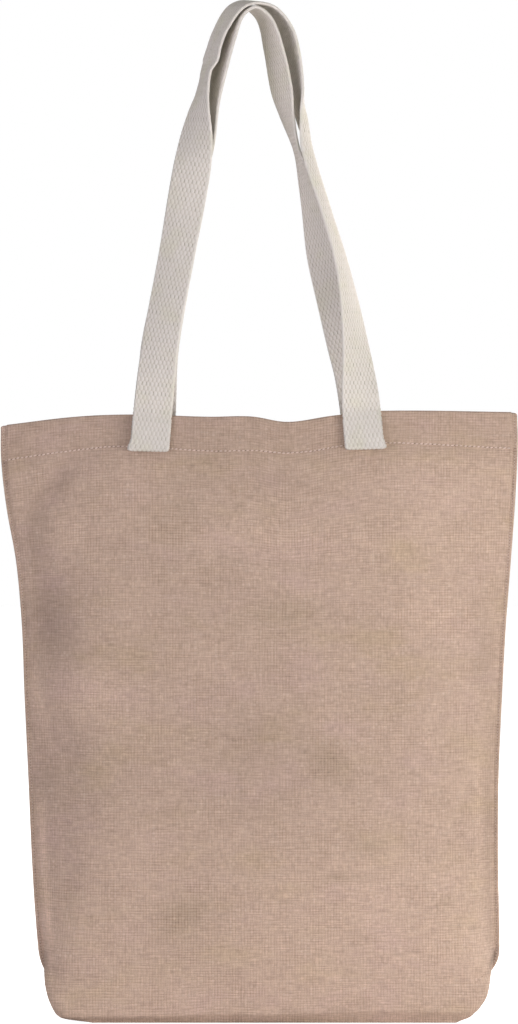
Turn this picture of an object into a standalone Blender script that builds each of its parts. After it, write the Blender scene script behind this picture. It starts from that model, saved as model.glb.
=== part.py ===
"""A jute tote bag: a one-piece cloth body with a boxed base, and two cotton webbing handles.

The body is one length of cloth that runs down the front, under the base and up the back. It is
hemmed round the mouth, and its sides are joined by seams that stand out as narrow fins. Each
handle is a strip of webbing whose ends are turned under and sewn to the hem from outside.

Metres, +Z up. The origin is on the floor under the middle of the bag, and the front faces -Y.
Sizes and tables are in millimetres and degrees, and a table has a row for each section or fold.
"""

import math
from collections import namedtuple

import bmesh
import bpy
from mathutils import Vector

MM = 0.001
CENTRE = 2.0           # the tables' x is this far from the middle of the bag's box

# Cloth
CLOTH = 1.5            # thickness of one layer of jute
HEM = 3.0              # thickness of the folded hem
HEM_DEPTH = 26.0       # from the rim down to the hem's lower edge
RIM = 445.0            # nominal height of the rim
COLUMNS = 12           # strips of faces in half a panel
EDGE_CROWDING = 1.35   # above 1, the strips get narrower towards the side seams
CORNER_STEPS = 12      # steps along the curve of a section's corner
SIDE_BEND = 0.8        # share of the way from the corner to the seam that the curve takes up
HEM_EASE = 90.0        # height below the hem over which the seams open out to take it

# Side seams
SEAM_SPACE = 0.7       # half the space between the two panels inside a seam
FIN_WIDTH = 4.5        # how far the seam allowance stands out
FIN_ROOT = 0.9         # how deep the fin reaches into the wall
FIN_CLOTH = 3.4        # thickness of the fin
FIN_HEM = 6.4          # and of the fin where it crosses the hem
FIN_FOOT = 12.0        # height at which the fin ends in the tuck
FIN_DROP = 0.5         # how far under the rim its top lies

# Handles
WEBBING_WIDTH = 28.5
WEBBING = 2.0          # thickness of the webbing
WEBBING_END = 3.6      # and of its turned-under end
END_TOP = 443.0        # height at which the turned-under part stops
WEBBING_STEPS = 3      # sections between two rows of a handle's table
WEBBING_STRIPS = 4     # strips of faces across it
SEWN_GAP = 0.3         # between a handle's end and the hem
LIFT_OFF = 30.0        # height above the rim at which a handle hangs free of the hem

# Half sections of the body. The panel runs out from the middle at DEPTH to a corner, and from
# there to the side seam. The last BEND of the face curves into the corner.
BodyRow = namedtuple(
    "BodyRow", "height seam_left seam_right corner_left corner_right depth corner_depth bend"
)
BODY_ROWS = [BodyRow(*row) for row in (
    (0, 125.0, 143.0, 125.0, 143.0, 28.0, 28.0, 0),
    (2.5, 137.0, 146.0, 151.5, 159.5, 33.5, 31.0, 24),
    (8, 142.0, 150.5, 160.8, 167.7, 36.0, 33.0, 24),
    (18, 146.6, 154.6, 166.3, 174.8, 35.8, 32.5, 24),
    (30, 152.3, 159.7, 168.8, 176.9, 35.5, 31.0, 26),
    (44, 159.4, 169.8, 165.0, 173.5, 35.2, 30.5, 30),
    (58, 161.6, 171.2, 156.0, 165.0, 35.0, 31.0, 36),
    (110, 165.3, 170.3, 146.0, 152.0, 34.5, 32.0, 50),
    (180, 168.4, 170.6, 145.0, 150.0, 33.5, 31.5, 60),
    (240, 171.2, 173.2, 147.0, 151.0, 32.5, 30.5, 60),
    (290, 173.1, 175.9, 147.0, 150.0, 31.0, 29.0, 60),
    (340, 177.3, 179.8, 140.0, 142.0, 28.5, 27.0, 64),
    (385, 184.7, 183.1, 122.0, 122.0, 25.5, 24.0, 76),
    (420, 188.4, 184.7, 108.0, 108.0, 22.0, 20.5, 90),
    (450, 188.6, 184.0, 105.0, 105.0, 20.0, 19.0, 95),
)]

# Heights of the rows of faces, from the base up, and of those that carry the hem.
ROW_HEIGHTS = (
    0, 2.5, 8, 18, 30, 37, 45, 58, 86, 118, 150, 182, 214, 246, 278, 310, 342, 372, 398, 416.5
)
HEM_HEIGHTS = (RIM - HEM_DEPTH, RIM - HEM_DEPTH / 2, RIM)

# Waves of the rim, which the handles pull up beside a dip, and of the creases where the panels
# turn under the base. Each row is the rise above the nominal height at a place along x.
Wave = namedtuple("Wave", "x rise")
RIM_WAVES = [Wave(*row) for row in (
    (-190, -6.0),
    (-137, 0.0),
    (-95, 1.5),
    (-40, -0.2),
    (-8, 0.0),
    (19, -4.0),
    (52, 0.6),
    (88, 4.2),
    (185, 3.6),
)]
RIM_FADE = 150.0       # how far below the hem the rim's waves die away
BACK_RIM_DROP = 1.5    # how much lower the back of the rim lies
CREASE_WAVES = [Wave(*row) for row in (
    (-150, -1.6),
    (-60, -1.2),
    (-33, 1.0),
    (0, -0.6),
    (50, 0.8),
    (84, 1.8),
    (120, 0.2),
    (158, 0.2),
)]
CREASE_SHARES = {2.5: 0.3, 8: 1.0, 18: 0.7, 30: 0.3}   # by height: how much of a wave a row takes

# Soft folds: a positive depth sinks a panel inwards. LEAN is the sideways run for each unit of
# height, and SIDE is -1 on the front and 1 on the back.
Fold = namedtuple("Fold", "side x height half_width half_height lean depth")
FOLDS = [Fold(*row) for row in (
    (-1, -154, 352, 15, 34, 0.45, 3.6),
    (-1, -150, 292, 16, 42, 0.05, 5.0),
    (-1, -160, 222, 8, 26, -0.10, -2.4),
    (-1, -138, 176, 17, 34, -0.15, 3.6),
    (-1, -157, 122, 7, 40, 0.05, -2.6),
    (-1, -143, 96, 12, 52, 0.04, 3.4),
    (-1, 160, 170, 7, 70, 0.00, -1.8),
    (-1, 146, 90, 12, 60, 0.05, 1.8),
    (-1, -62, 350, 26, 60, 0.35, 1.6),
    (-1, 22, 300, 46, 30, 0.10, 1.6),
    (-1, -12, 414, 34, 14, 0.00, -1.6),
    (1, 150, 300, 16, 48, -0.05, 4.2),
    (1, -148, 210, 15, 60, 0.08, 3.6),
    (1, 30, 340, 50, 36, 0.20, 2.2),
    (1, -60, 120, 60, 30, -0.20, 1.6),
)]
FOLD_CLEARANCE = 12.0  # the folds fade out over this distance from the side seams' plane
FOLD_FOOT = 20.0       # and over this height above the base, whose outline stays straight

# The handles' paths, from the left end to the right end. TURN is how far the webbing's front edge
# swings from facing the front towards +X, and CUP is how much its outer face bulges. The sewn
# ends take their place in y from the hem.
PathRow = namedtuple("PathRow", "x y z turn cup")
FRONT_HANDLE_PATH = [PathRow(*row) for row in (
    (-82.5, -20.0, 420.5, 90, 0.0),
    (-80.6, -20.0, 446.0, 90, 0.0),
    (-74.8, -17.5, 499.0, 72, 0.5),
    (-62.8, -16.0, 565.0, 71, 1.0),
    (-53.0, -14.5, 620.0, 82, 1.0),
    (-49.2, -13.5, 646.0, 62, 1.0),
    (-46.8, -13.0, 668.0, 35, 0.5),
    (-43.2, -12.5, 687.0, 19, 0.5),
    (-37.4, -11.0, 710.0, 22, 0.0),
    (-31.2, -8.5, 732.0, 22, 0.0),
    (-22.8, -5.0, 747.9, 23, 0.0),
    (-10.8, -0.5, 752.4, 24, 0.0),
    (4.4, 4.8, 748.0, 24, 0.0),
    (16.2, 9.0, 732.0, 24, 0.0),
    (23.2, 10.0, 710.0, 22, 0.0),
    (28.0, 9.0, 687.0, 14, 1.0),
    (31.3, 6.5, 666.0, 3, 5.0),
    (35.2, 3.0, 642.0, -11, 4.5),
    (48.6, -3.0, 598.0, -14, 2.5),
    (58.8, -7.5, 565.0, -15, 2.0),
    (64.8, -11.0, 532.0, -27, 1.5),
    (70.3, -15.0, 487.0, -50, 0.5),
    (73.4, -20.0, 446.0, -86, 0.0),
    (75.2, -20.0, 421.5, -90, 0.0),
)]
BACK_HANDLE_PATH = [PathRow(*row) for row in (
    (-80.0, 20.0, 420.5, -90, 0.0),
    (-78.4, 20.0, 446.0, -90, 0.0),
    (-75.6, 17.0, 499.0, -80, 0.5),
    (-61.5, 12.0, 565.0, -45, 1.0),
    (-49.5, 4.0, 609.0, -5, 1.0),
    (-41.8, -2.0, 640.0, 19, 0.5),
    (-37.2, -6.5, 676.0, 23, 0.0),
    (-31.4, -9.0, 699.0, 24, 0.0),
    (-25.0, -7.5, 722.5, 24, 0.0),
    (-19.6, -5.0, 739.5, 23, 0.0),
    (-10.2, -1.2, 747.5, 23, 0.0),
    (1.0, 3.0, 738.5, 24, 0.0),
    (8.8, 5.5, 717.0, 29, 0.0),
    (14.6, 7.0, 687.5, 32, 0.0),
    (18.7, 8.0, 668.5, 19, 0.0),
    (26.2, 9.5, 643.0, 6, 0.5),
    (33.6, 10.8, 619.0, 22, 1.0),
    (38.4, 12.0, 598.0, 33, 1.0),
    (44.6, 13.5, 565.0, 48, 1.0),
    (53.6, 15.0, 532.0, 62, 1.0),
    (62.2, 17.0, 499.0, 76, 0.5),
    (68.2, 19.0, 476.0, 84, 0.0),
    (72.8, 20.0, 446.0, 90, 0.0),
    (74.4, 20.0, 421.0, 90, 0.0),
)]

JUTE = (0.50, 0.36, 0.27, 1.0)
COTTON = (0.62, 0.57, 0.52, 1.0)


# Tables and curves

def read_table(rows, place):
    """The row of a table at a place along its first column, on a smooth curve through its rows."""
    place = min(max(place, rows[0][0]), rows[-1][0])
    last = len(rows) - 1
    i = next(k for k in range(last) if place <= rows[k + 1][0])
    before, start, end, after = rows[max(i - 1, 0)], rows[i], rows[i + 1], rows[min(i + 2, last)]
    span = end[0] - start[0]
    t = (place - start[0]) / span
    values = [place]
    for a, b, c, d in zip(before[1:], start[1:], end[1:], after[1:]):
        leave = (c - a) / (end[0] - before[0]) * span
        arrive = (d - b) / (after[0] - start[0]) * span
        values.append(
            b * (2 * t**3 - 3 * t**2 + 1)
            + leave * (t**3 - 2 * t**2 + t)
            + c * (3 * t**2 - 2 * t**3)
            + arrive * (t**3 - t**2)
        )
    return type(rows[0])(*values)


def lengths_along(points):
    """How far each point lies along a line of points."""
    lengths = [0.0]
    for here, there in zip(points, points[1:]):
        lengths.append(lengths[-1] + (there - here).length)
    return lengths


def smooth_step(t):
    t = min(max(t, 0.0), 1.0)
    return t * t * (3 - 2 * t)


# Body

def half_section(height, side):
    """Half a panel's section, from the middle out to the left (-1) or right (1) side seam."""
    row = read_table(BODY_ROWS, height)
    corner_x, seam_x = row.corner_right, row.seam_right
    if side < 0:
        corner_x, seam_x = row.corner_left, row.seam_left
    layer = CLOTH + (HEM - CLOTH) * smooth_step((height - RIM + HEM_DEPTH + HEM_EASE) / HEM_EASE)
    middle = Vector((0, row.depth))
    corner = Vector((corner_x, row.corner_depth))
    seam = Vector((seam_x, layer + SEAM_SPACE))
    enter = corner + (middle - corner).normalized() * row.bend
    leave = corner.lerp(seam, SIDE_BEND)
    points = [middle]
    for step in range(CORNER_STEPS + 1):
        t = step / CORNER_STEPS
        points.append(enter.lerp(corner, t).lerp(corner.lerp(leave, t), t))
    points.append(seam)
    return points


def point_at_share(points, share):
    """The point at a share of the whole length of a line of points."""
    lengths = lengths_along(points)
    target = share * lengths[-1]
    i = next(k for k in range(len(points) - 1) if target <= lengths[k + 1] + 1e-9)
    return points[i].lerp(points[i + 1], (target - lengths[i]) / (lengths[i + 1] - lengths[i]))


def fold_depth(side, x, height):
    """How far the folds sink the front (-1) or back (1) panel at a point."""
    total = 0.0
    for fold in FOLDS:
        if fold.side == side:
            up = height - fold.height
            across = (x - fold.x - fold.lean * up) / fold.half_width
            total += fold.depth * math.exp(-across**2 - (up / fold.half_height) ** 2)
    return total * smooth_step(height / FOLD_FOOT)


def rise(x, height, side):
    """How far the rim's and the creases' waves lift a point of the body."""
    fade = smooth_step((height - (RIM - HEM_DEPTH - RIM_FADE)) / RIM_FADE)
    rim_rise = read_table(RIM_WAVES, x).rise - (BACK_RIM_DROP if side > 0 else 0)
    crease_rise = read_table(CREASE_WAVES, x).rise
    return rim_rise * fade + crease_rise * CREASE_SHARES.get(height, 0)


def panel_depth(side, x, height):
    """How far out from the middle plane a panel's outer face lies."""
    points = half_section(height, -1 if x < 0 else 1)
    for inner, outer in zip(points, points[1:]):
        if inner.x <= abs(x) <= outer.x:
            share = (abs(x) - inner.x) / (outer.x - inner.x)
            return inner.lerp(outer, share).y - fold_depth(side, x, height)
    return points[-1].y


def body_row(height):
    """One loop round the body: the front from left to right, then the back from right to left."""
    shares = [1 - (1 - k / COLUMNS) ** EDGE_CROWDING for k in range(COLUMNS + 1)]
    front = []
    for side in (-1, 1):
        half = half_section(height, side)
        line = [Vector((side * p.x, p.y)) for p in (point_at_share(half, share) for share in shares)]
        front += line[::-1] if side < 0 else line[1:]
    row = []
    for side, line in ((-1, front), (1, front[::-1])):
        for point in line:
            free = smooth_step((point.y - CLOTH - SEAM_SPACE) / FOLD_CLEARANCE)
            depth = point.y - free * fold_depth(side, point.x, height)
            row.append(Vector((point.x, side * depth, height + rise(point.x, height, side))))
    return row


def grid_mesh(name, rows, closed, cap):
    """A sheet through rows of points. CLOSED joins each row's ends, and CAP fills the first row."""
    bm = bmesh.new()
    shift = Vector((CENTRE, 0, 0))
    lines = [[bm.verts.new((point + shift) * MM) for point in row] for row in rows]
    count = len(rows[0])
    for low, high in zip(lines, lines[1:]):
        for k in range(count if closed else count - 1):
            m = (k + 1) % count
            bm.faces.new((low[k], low[m], high[m], high[k]))
    if cap:
        bm.faces.new(lines[0][::-1])
    mesh = bpy.data.meshes.new(name)
    bm.to_mesh(mesh)
    bm.free()
    return mesh


def add_object(name, mesh, collection, material=None):
    obj = bpy.data.objects.new(name, mesh)
    collection.objects.link(obj)
    if material:
        mesh.materials.append(material)
    return obj


def thicken(obj, thickest, weights, offset):
    """Solidify a sheet. WEIGHTS gives each point's share of the greatest thickness."""
    group = obj.vertex_groups.new(name="thickness")
    for index, weight in enumerate(weights):
        group.add([index], weight, "REPLACE")
    solidify = obj.modifiers.new("thickness", "SOLIDIFY")
    solidify.thickness = thickest * MM
    solidify.offset = offset
    solidify.use_even_offset = True
    solidify.vertex_group = group.name


def make_fin(name, side, collection):
    """A seam allowance that stands out along a side seam, down into the tuck at the base."""
    heights = [h for h in ROW_HEIGHTS if h >= FIN_FOOT] + list(HEM_HEIGHTS)
    line = []
    for height in heights:
        x = side * half_section(height, side)[-1].x
        line.append(Vector((x, 0, height + rise(x, height, -1))))
    line[-1].z -= FIN_DROP
    rows = []
    for k, point in enumerate(line):
        along = (line[min(k + 1, len(line) - 1)] - line[max(k - 1, 0)]).normalized()
        out = Vector((side * along.z, 0, -side * along.x))
        rows.append([point - out * FIN_ROOT, point + out * FIN_WIDTH])
    fin = add_object(name, grid_mesh(name, rows, closed=False, cap=False), collection)
    weights = []
    for height in heights:
        weights += [1.0 if height >= RIM - HEM_DEPTH else FIN_CLOTH / FIN_HEM] * 2
    thicken(fin, FIN_HEM, weights, offset=0)
    fin.hide_render = True
    fin.display_type = "WIRE"
    return fin


def make_body(collection, joined, material):
    """The cloth body: a sheet thickened inwards, with its two side seams joined on."""
    heights = list(ROW_HEIGHTS) + list(HEM_HEIGHTS)
    rows = [body_row(height) for height in heights]
    body = add_object("body", grid_mesh("body", rows, closed=True, cap=True), collection, material)
    weights = []
    for height, row in zip(heights, rows):
        weights += [1.0 if height >= RIM - HEM_DEPTH else CLOTH / HEM] * len(row)
    thicken(body, HEM, weights, offset=-1)
    for name, side in (("seam_left", -1), ("seam_right", 1)):
        join = body.modifiers.new(name, "BOOLEAN")
        join.operation = "UNION"
        join.solver = "EXACT"
        join.object = make_fin(name, side, joined)
    return body


# Handles

Station = namedtuple("Station", "length x y z turn cup")


def handle_rows(path, side):
    """Sections across a handle's webbing, closest together where its table is finest."""
    lengths = lengths_along([Vector((row.x, row.y, row.z)) for row in path])
    table = [Station(length, *row) for length, row in zip(lengths, path)]
    places = [
        start + (end - start) * step / WEBBING_STEPS
        for start, end in zip(lengths, lengths[1:])
        for step in range(WEBBING_STEPS)
    ]
    stations = [read_table(table, place) for place in places + [lengths[-1]]]
    centres = [Vector((station.x, station.y, station.z)) for station in stations]
    rows = []
    for k, (centre, station) in enumerate(zip(centres, stations)):
        turn = math.radians(station.turn)
        along = (centres[min(k + 1, len(centres) - 1)] - centres[max(k - 1, 0)]).normalized()
        across = Vector((math.sin(turn), -math.cos(turn), 0))
        across = (across - across.dot(along) * along).normalized()
        outward = across.cross(along)
        row = []
        for strip in range(WEBBING_STRIPS + 1):
            share = strip / WEBBING_STRIPS - 0.5
            bulge = station.cup * (1 / 3 - 4 * share**2)   # a parabola with no mean
            row.append(centre + across * (share * WEBBING_WIDTH) + outward * bulge)
        rows.append([on_hem(point, side) for point in row])
    return rows


def on_hem(point, side):
    """Moves a point of a handle onto the hem where the handle is sewn down."""
    free = smooth_step((point.z - RIM) / LIFT_OFF)
    height = min(point.z - rise(point.x, RIM, side), RIM)
    sewn = side * (panel_depth(side, point.x, height) + SEWN_GAP + WEBBING_END / 2)
    return Vector((point.x, sewn * (1 - free) + point.y * free, point.z))


def make_handle(name, path, side, collection, material):
    """A webbing handle. SIDE is -1 where it is sewn to the front and 1 to the back."""
    rows = handle_rows(path, side)
    handle = add_object(name, grid_mesh(name, rows, closed=False, cap=False), collection, material)
    weights = []
    for row in rows:
        doubled = row[WEBBING_STRIPS // 2].z < END_TOP
        weights += [1.0 if doubled else WEBBING / WEBBING_END] * len(row)
    thicken(handle, WEBBING_END, weights, offset=0)
    return handle


# Scene

def make_material(name, colour, roughness):
    material = bpy.data.materials.new(name)
    material.use_nodes = True
    shader = material.node_tree.nodes["Principled BSDF"]
    shader.inputs["Base Color"].default_value = colour
    shader.inputs["Roughness"].default_value = roughness
    shader.inputs["Metallic"].default_value = 0.0
    return material


def make_collection(name):
    collection = bpy.data.collections.new(name)
    bpy.context.scene.collection.children.link(collection)
    return collection


def main():
    for obj in list(bpy.data.objects):
        bpy.data.objects.remove(obj, do_unlink=True)
    parts = make_collection("jute_tote_bag")
    joined = make_collection("joined_shapes")
    jute = make_material("jute_cloth", JUTE, 0.9)
    cotton = make_material("cotton_webbing", COTTON, 0.85)
    make_body(parts, joined, jute)
    make_handle("handle_front", FRONT_HANDLE_PATH, -1, parts, cotton)
    make_handle("handle_back", BACK_HANDLE_PATH, 1, parts, cotton)


main()
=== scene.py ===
# Jute tote bag: a hemmed cloth body with a boxed base, two webbing handles and their thread.
# Tables and sizes are in the bag's own millimetres and degrees; the frame gives scale and place.
import math
import random
from functools import partialmethod

import bpy
import numpy as np
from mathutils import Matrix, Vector


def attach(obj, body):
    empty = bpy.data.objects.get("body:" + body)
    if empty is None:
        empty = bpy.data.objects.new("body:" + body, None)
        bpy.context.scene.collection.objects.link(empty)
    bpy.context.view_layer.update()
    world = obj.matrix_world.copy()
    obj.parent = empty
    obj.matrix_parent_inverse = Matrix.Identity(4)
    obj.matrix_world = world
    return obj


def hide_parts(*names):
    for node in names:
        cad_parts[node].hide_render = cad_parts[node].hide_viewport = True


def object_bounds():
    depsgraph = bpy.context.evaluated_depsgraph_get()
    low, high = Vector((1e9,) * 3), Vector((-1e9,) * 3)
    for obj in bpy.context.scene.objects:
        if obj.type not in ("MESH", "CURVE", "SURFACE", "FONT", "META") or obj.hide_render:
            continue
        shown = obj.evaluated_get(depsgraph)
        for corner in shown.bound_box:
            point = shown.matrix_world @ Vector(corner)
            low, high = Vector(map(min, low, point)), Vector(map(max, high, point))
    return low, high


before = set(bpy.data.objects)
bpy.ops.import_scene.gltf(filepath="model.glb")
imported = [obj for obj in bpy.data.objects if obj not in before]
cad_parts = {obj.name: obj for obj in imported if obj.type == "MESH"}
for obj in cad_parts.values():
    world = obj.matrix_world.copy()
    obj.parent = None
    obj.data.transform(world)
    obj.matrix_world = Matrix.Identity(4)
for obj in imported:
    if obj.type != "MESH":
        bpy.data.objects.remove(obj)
cadLow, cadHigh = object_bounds()
print("frame loaded:", len(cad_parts), "nodes")

bagHeight = 753.4  # from the floor to the top of the handles
unit = (cadHigh.z - cadLow.z) / bagHeight  # metres for one of the tables' millimetres
middle = np.array(((cadLow.x + cadHigh.x) / 2, 0.0, cadLow.z))
tableShift = np.array((2.0, 0.0, 0.0))  # from the tables' x to the middle of the box


def toWorld(points):
    # from the tables' millimetres to metres in the frame
    return middle + (np.asarray(points) + tableShift) * unit


def smoothStep(t):
    t = np.clip(t, 0.0, 1.0)
    return t * t * (3 - 2 * t)


def readTable(rows, places):
    # a smooth curve through the rows of a table, read at places along its first column
    table = np.array(rows, float)
    places = np.clip(np.atleast_1d(places).astype(float), table[0, 0], table[-1, 0])
    last = len(table) - 1
    start = np.clip(np.searchsorted(table[:, 0], places, "right") - 1, 0, last - 1)
    a, b = table[np.maximum(start - 1, 0)], table[start]
    c, d = table[start + 1], table[np.minimum(start + 2, last)]
    span = c[:, :1] - b[:, :1]
    t = (places[:, None] - b[:, :1]) / span
    leave = (c - a) / (c[:, :1] - a[:, :1]) * span
    arrive = (d - b) / (d[:, :1] - b[:, :1]) * span
    return (b * (2 * t**3 - 3 * t**2 + 1) + leave * (t**3 - 2 * t**2 + t)
            + c * (3 * t**2 - 2 * t**3) + arrive * (t**3 - t**2))


def lengthsAlong(points):
    steps = np.linalg.norm(np.diff(points, axis=0), axis=1)
    return np.concatenate(([0.0], np.cumsum(steps)))


def unitVectors(vectors):
    return vectors / np.maximum(np.linalg.norm(vectors, axis=-1, keepdims=True), 1e-9)


def stepped(stretches):
    # places from one end to the other; each stretch has its start, end and step
    places = []
    for start, end, step in stretches:
        count = max(1, round(abs(end - start) / step))
        places += list(np.linspace(start, end, count, endpoint=False))
    return np.array(places + [stretches[-1][1]])


def addMesh(name, vertices, faces, uvs, material):
    mesh = bpy.data.meshes.new(name)
    mesh.from_pydata(vertices.tolist(), [], faces)
    layer = mesh.uv_layers.new(name="cloth")
    layer.data.foreach_set("uv", np.asarray(uvs, np.float32).ravel())
    # flat caps have many corners; the rest is smooth
    mesh.polygons.foreach_set("use_smooth", [len(face) < 5 for face in faces])
    mesh.materials.append(material)
    piece = bpy.data.objects.new(name, mesh)
    bpy.context.scene.collection.objects.link(piece)
    return piece


def addShade(piece, name, values):
    # a number for each point, which the material reads
    shade = piece.data.attributes.new(name, "FLOAT", "POINT")
    shade.data.foreach_set("value", np.asarray(values, np.float32).ravel())


def loftRings(name, rings, acrossPlaces, alongPlaces, capPlaces, material):
    # a closed skin through rings of points, with a flat cap on the first and the last ring;
    # acrossPlaces are the faces' left and right edges on the cloth, for each ring and point
    count, size = rings.shape[:2]
    near = np.arange(size)
    far = (near + 1) % size
    row = np.arange(count - 1)[:, None] * size
    quads = np.stack((row + near, row + far, row + size + far, row + size + near), axis=-1)
    left, right = acrossPlaces
    low = np.broadcast_to(np.asarray(alongPlaces)[:-1, None], (count - 1, size))
    high = np.broadcast_to(np.asarray(alongPlaces)[1:, None], (count - 1, size))
    uvs = np.stack((left[:-1], low, right[:-1], low, right[1:], high, left[1:], high), axis=-1)
    uvs = uvs.reshape(-1, 2)
    caps = [list(near[::-1]), list((count - 1) * size + near)]
    capUvs = [capPlaces[0][::-1], capPlaces[1]]
    faces = quads.reshape(-1, 4).tolist() + [[int(k) for k in cap] for cap in caps]
    uvs = np.concatenate([uvs] + capUvs) * unit
    return addMesh(name, toWorld(rings.reshape(-1, 3)), faces, uvs, material)


# lengths in metres; the lens and its sensor in millimetres
camera = {
    "distance": 3.5,
    "height": 0.3747,  # of the lens above the floor
    "side": -0.0002,
    "lens": 166.4,
    "sensor": 36,
    "farthest": 50,
}


def makeCamera():
    data = bpy.data.cameras.new("camera")
    data.lens = camera["lens"]
    data.sensor_width = camera["sensor"]
    data.clip_end = camera["farthest"]
    eye = bpy.data.objects.new("camera", data)
    eye.location = (middle[0] + camera["side"], -camera["distance"], cadLow.z + camera["height"])
    eye.rotation_euler = (math.radians(90), 0, 0)
    bpy.context.scene.collection.objects.link(eye)
    bpy.context.scene.camera = eye


makeCamera()
print("camera placed")


class Wire:
    # a material node's output, which plain expressions join to others with Math nodes
    def __init__(self, socket):
        self.socket = socket

    def node(self, kind, settings=None, inputs=None, output=0):
        # any node of this material: its settings first, then its sockets' values or links
        tree = self.socket.id_data
        made = tree.nodes.new(kind)
        for name, setting in (settings or {}).items():
            setattr(made, name, setting)
        for key, value in (inputs or {}).items():
            if isinstance(value, Wire):
                tree.links.new(value.socket, made.inputs[key])
            else:
                made.inputs[key].default_value = value
        return Wire(made.outputs[output])

    def maths(self, operation, *others):
        return self.node("ShaderNodeMath", {"operation": operation},
                         dict(enumerate((self,) + others)))

    __add__ = __radd__ = partialmethod(maths, "ADD")
    __sub__ = partialmethod(maths, "SUBTRACT")
    __mul__ = partialmethod(maths, "MULTIPLY")
    __truediv__ = partialmethod(maths, "DIVIDE")
    sine = partialmethod(maths, "SINE")
    floor = partialmethod(maths, "FLOOR")
    absolute = partialmethod(maths, "ABSOLUTE")
    least = partialmethod(maths, "MINIMUM")
    power = partialmethod(maths, "POWER")

    def __rsub__(self, other):
        return self.node("ShaderNodeMath", {"operation": "SUBTRACT"}, {0: other, 1: self})

    def fromNearest(self):
        # how far this is from the nearest whole number
        return self - (self + 0.5).floor()

    def clamp(self):
        return self.node("ShaderNodeClamp", None, {0: self})

    def band(self, low, high, bottom=0.0, top=1.0):
        # runs smoothly from bottom to top as this goes from low to high
        return self.node("ShaderNodeMapRange", {"interpolation_type": "SMOOTHSTEP"},
                         {0: self, 1: low, 2: high, 3: bottom, 4: top})

    def noise(self, scale, detail=2.0, roughness=0.5):
        # soft noise from -0.5 to 0.5, on a vector; scale is in waves to a millimetre
        made = self.node("ShaderNodeTexNoise", {"noise_dimensions": "3D"}, {
            "Vector": self, "Scale": scale, "Detail": detail, "Roughness": roughness})
        return made - 0.5

    def mix(self, start, end):
        # start where this is nought, end where it is one
        return self.node("ShaderNodeMix", {"data_type": "RGBA"}, {0: self, 6: start, 7: end}, 2)

    def brighten(self, colour):
        # a colour multiplied by this number
        grey = self.vector(self, self)
        return self.node("ShaderNodeVectorMath", {"operation": "MULTIPLY"}, {0: colour, 1: grey})

    def vector(self, second=0.0, third=0.0):
        # this, a second and a third; a different third gives a different noise
        return self.node("ShaderNodeCombineXYZ", None, {0: self, 1: second, 2: third})


def startMaterial(name):
    # u and v are places on the cloth, in millimetres
    material = bpy.data.materials.new(name)
    material.use_nodes = True
    shader = material.node_tree.nodes["Principled BSDF"]
    place = Wire(material.node_tree.nodes.new("ShaderNodeTexCoord").outputs["UV"])
    u = place.node("ShaderNodeSeparateXYZ", None, {0: place}, 0) * (1 / unit)
    v = place.node("ShaderNodeSeparateXYZ", None, {0: place}, 1) * (1 / unit)
    return material, shader, u, v


def readShade(wire, name):
    # a number that addShade gave each point
    return wire.node("ShaderNodeAttribute", {"attribute_name": name}, None, 2)


def readNoise(row, first, second):
    # a noise on two numbers, by a row of a table of noises
    firstStretch, secondStretch, place, scale, detail, roughness = row
    return (first * firstStretch).vector(second * secondStretch, place) \
        .noise(scale, detail, roughness)


def finishMaterial(material, shader, colour, roughness, height, relief):
    links = material.node_tree.links
    links.new(colour.socket, shader.inputs["Base Color"])
    links.new(roughness.socket, shader.inputs["Roughness"])
    bump = height.node("ShaderNodeBump", None,
                       {"Strength": 1.0, "Distance": relief * unit, "Height": height})
    links.new(bump.socket, shader.inputs["Normal"])
    return material


jute = {
    "warpPitch": 2.18,  # from one upright yarn to the next
    "weftPitch": 2.0,
    "unevenPitch": 0.55,  # how far the pitch comes and goes
    "wander": 0.7,
    "colour": (0.455, 0.336, 0.266, 1),
    "pale": (0.542, 0.425, 0.352, 1),  # a clean, light yarn
    "dark": (0.362, 0.258, 0.194, 1),  # a dull one
    "gapShade": (0.21, 0.135, 0.085, 1),  # painted shade in the gaps between the yarns
    "olive": (0.43, 0.325, 0.215, 1),
    "mauve": (0.475, 0.340, 0.300, 1),
    "stain": (0.30, 0.235, 0.165, 1),
    "toneSpan": 0.36,  # how far a yarn's tone lies from the middle one when it shows in full
    "paleShare": 0.6,
    "dullShare": 0.6,
    "tintSpan": 0.26,
    "tintShare": 0.5,
    "speckBand": (0.30, 0.40),
    "speckShare": 0.5,
    "openness": (-0.22, 0.24, 0.45, 1.15),  # of the gaps, from close cloth to open
    "stainOpenness": 2.0,
    "warpGap": (-0.3, 0.3, 0.0, 0.38),  # beside upright yarns, from none to the widest
    "weftGap": (-0.3, 0.3, 0.0, 0.34),
    "crossGap": 0.22,  # the holes where four yarns meet
    "gapFall": 1.7,
    "level": 1.03,
    "hairs": 0.85,  # these five are how much each kind of unevenness shows
    "knots": 0.28,
    "patches": 0.16,
    "fibres": 1.0,
    "nicks": 0.62,
    "paintedLight": (60.0, 190.0, 1.12, 0.99),  # two heights, and how pale the cloth is at each: painted light, paler low down
    # two heights, and how much darker the cloth grows towards the hem
    "hemDarkening": (408.0, 422.0, 1.0, 0.92),
    "roughness": 0.93,
    "gapRoughness": 0.06,  # this much less in the gaps
    "yarnRound": 0.6,
    "hairRelief": 0.5,
    "toneRelief": 0.6,
    "relief": 0.14,
}

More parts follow.
